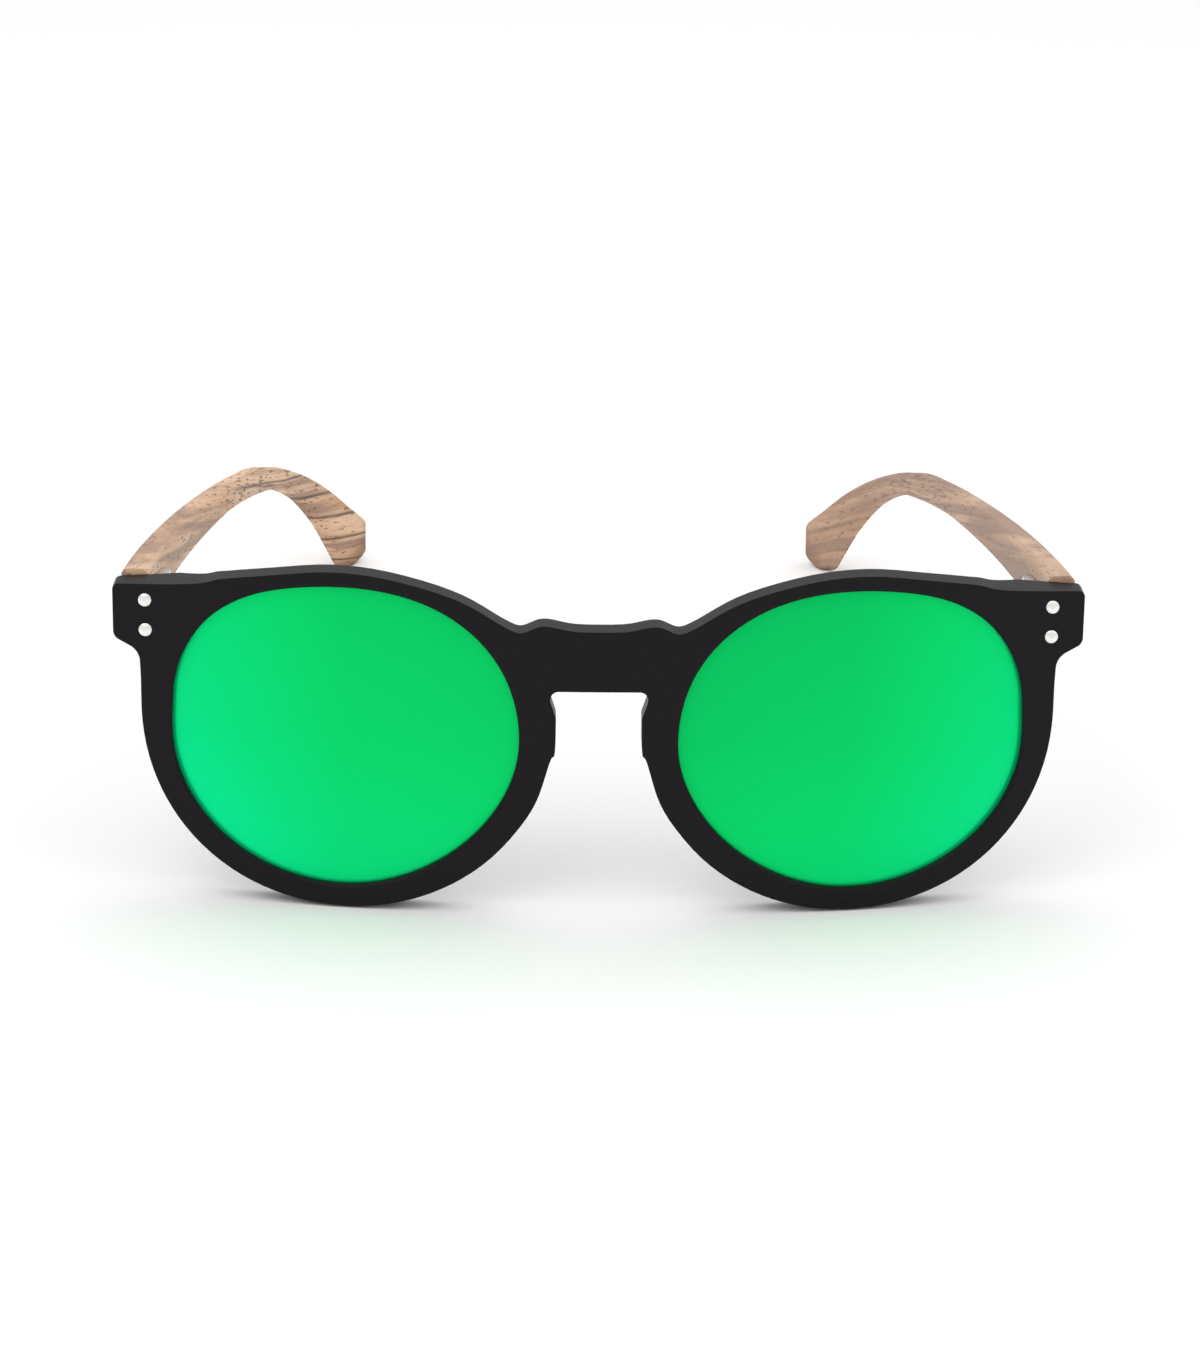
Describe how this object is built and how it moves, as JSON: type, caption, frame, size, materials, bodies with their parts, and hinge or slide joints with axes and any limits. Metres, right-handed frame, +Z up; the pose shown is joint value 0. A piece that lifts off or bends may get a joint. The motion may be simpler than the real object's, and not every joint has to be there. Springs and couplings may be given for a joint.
{
  "type": "sunglasses",
  "caption": "Round keyhole-bridge sunglasses with a black moulded front, green mirrored lenses and bent wooden temples on sprung hinges.",
  "frame": {"origin": "on the floor, midway across and midway along the open glasses", "axes": "+X towards the side on the right as the front is looked at, +Y from the front to the ear tips, +Z up; the glasses stand open on the rims and the ear tips"},
  "size_m": [0.1422, 0.1508, 0.0513],
  "materials": {
    "front": "satin moulded, near black",
    "lens": "green flash mirror coating",
    "rivets": "polished domes",
    "hinge_metal": "satin nickel plate",
    "screws": "turned",
    "spring_wire": "drawn wire",
    "box_metal": "satin nickel plate",
    "wood": "oiled, open pores"
  },
  "bodies": {
    "front": {"front_frame": "front", "left_lens": "lens", "left_upper_rivet": "rivets", "left_lower_rivet": "rivets", "left_front_hinge": "hinge_metal", "left_hinge_screw": "screws", "right_lens": "lens", "right_upper_rivet": "rivets", "right_lower_rivet": "rivets", "right_front_hinge": "hinge_metal", "right_hinge_screw": "screws"},
    "left_slide_arm": {"left_slider": "hinge_metal", "left_spring": "spring_wire", "left_rod_nut": "hinge_metal"},
    "left_side": {"left_temple": "wood", "left_spring_box": "box_metal", "left_spring_stop": "hinge_metal", "left_box_screw": "screws"},
    "right_slide_arm": {"right_slider": "hinge_metal", "right_spring": "spring_wire", "right_rod_nut": "hinge_metal"},
    "right_side": {"right_temple": "wood", "right_spring_box": "box_metal", "right_spring_stop": "hinge_metal", "right_box_screw": "screws"}
  },
  "joints": [
    {"name": "left_fold", "type": "hinge", "parent": "front", "child": "left_slide_arm", "pos_m": [-0.06445, -0.0587, 0.04283], "axis": [0, -0.079, -0.9969], "range_deg": [-8, 82]},
    {"name": "left_flex_slide", "type": "slide", "parent": "left_slide_arm", "child": "left_side", "axis": [0, 0.982, -0.1889], "range_m": [0, 0.0013], "stiffness_N_per_m": 1000, "springref_m": -0.0015, "deforming": ["left_spring"]},
    {"name": "right_fold", "type": "hinge", "parent": "front", "child": "right_slide_arm", "pos_m": [0.06445, -0.0587, 0.04283], "axis": [0, 0.079, 0.9969], "range_deg": [-8, 73]},
    {"name": "right_flex_slide", "type": "slide", "parent": "right_slide_arm", "child": "right_side", "axis": [0, 0.982, -0.1889], "range_m": [0, 0.0013], "stiffness_N_per_m": 1000, "springref_m": -0.0015, "deforming": ["right_spring"]}
  ]
}
